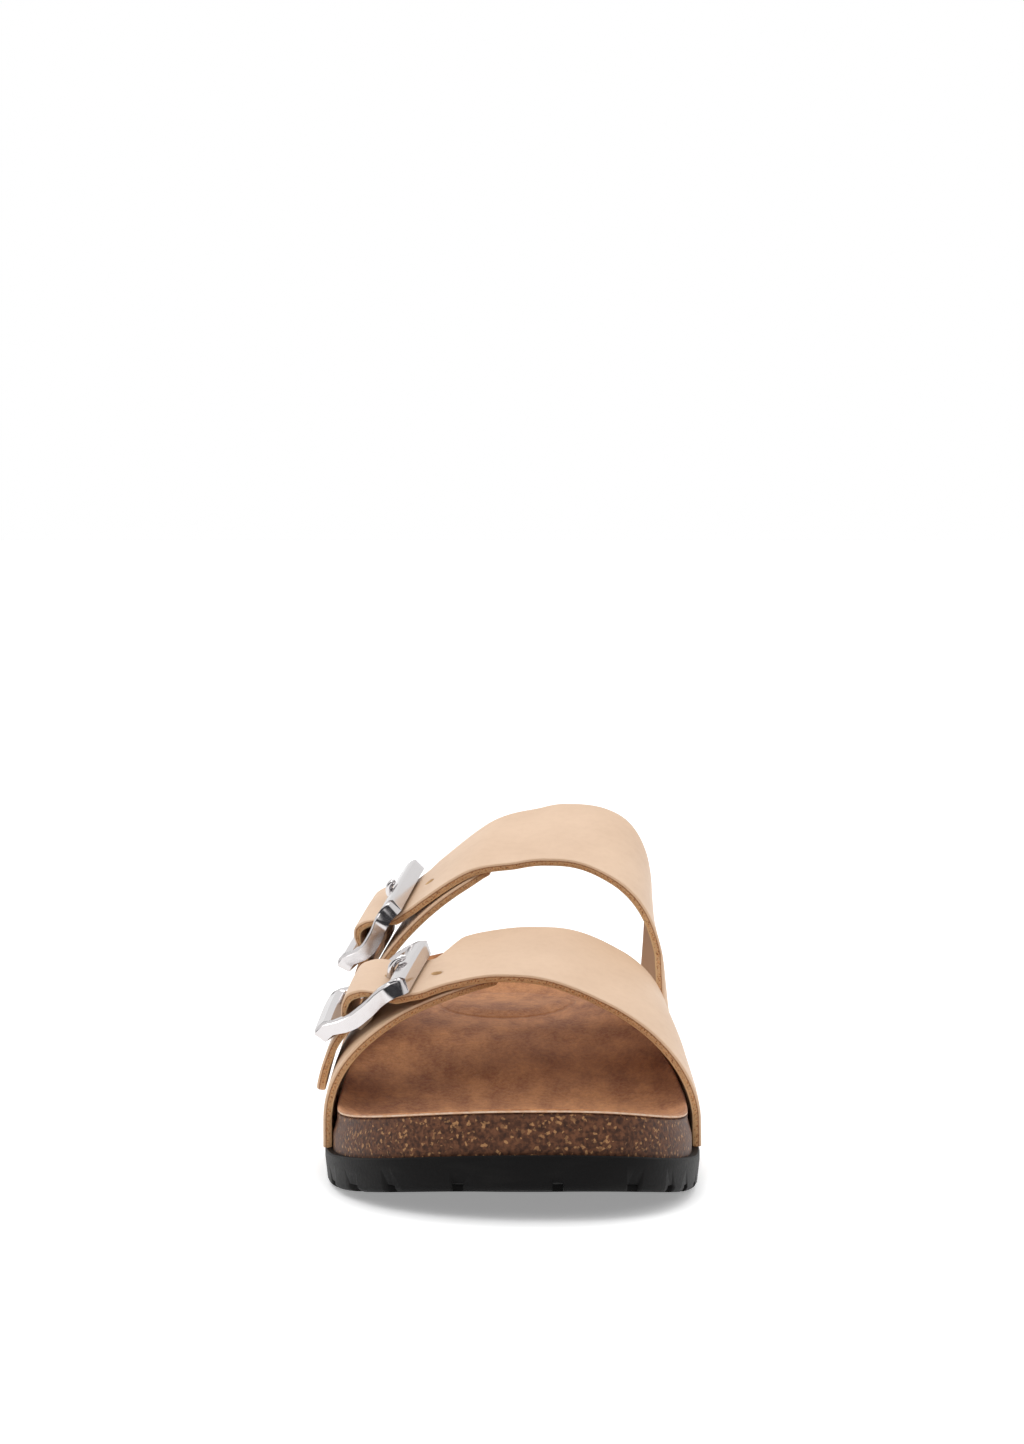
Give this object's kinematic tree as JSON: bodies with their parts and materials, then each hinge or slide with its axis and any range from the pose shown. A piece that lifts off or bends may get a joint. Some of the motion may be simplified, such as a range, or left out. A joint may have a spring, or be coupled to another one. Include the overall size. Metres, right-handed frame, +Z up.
{
  "type": "cork footbed sandal",
  "caption": "Right-foot slide sandal with a contoured cork footbed, suede insole, black rubber outsole and two buckled straps.",
  "frame": {"origin": "on the floor under the middle of the sole's length", "axes": "+Z up, -Y towards the toe, +X towards the inner (medial) side of the right foot"},
  "size_m": [0.0991, 0.255, 0.0877],
  "materials": {
    "rubber": "matte black outsole rubber",
    "cork": "dark sealed cork with light specks",
    "suede": "brown suede nap",
    "upper": "smooth beige leather with tan cut edges",
    "chrome": "polished nickel-coloured plating"
  },
  "bodies": {
    "root": {"outsole": "rubber", "cork_footbed": "cork", "suede_insole": "suede", "upper_medial": "upper", "upper_lateral": "upper", "buckle_front": "chrome", "buckle_rear": "chrome", "prong_front": "chrome", "prong_rear": "chrome", "keeper_front": "upper", "keeper_rear": "upper"}
  },
  "joints": []
}
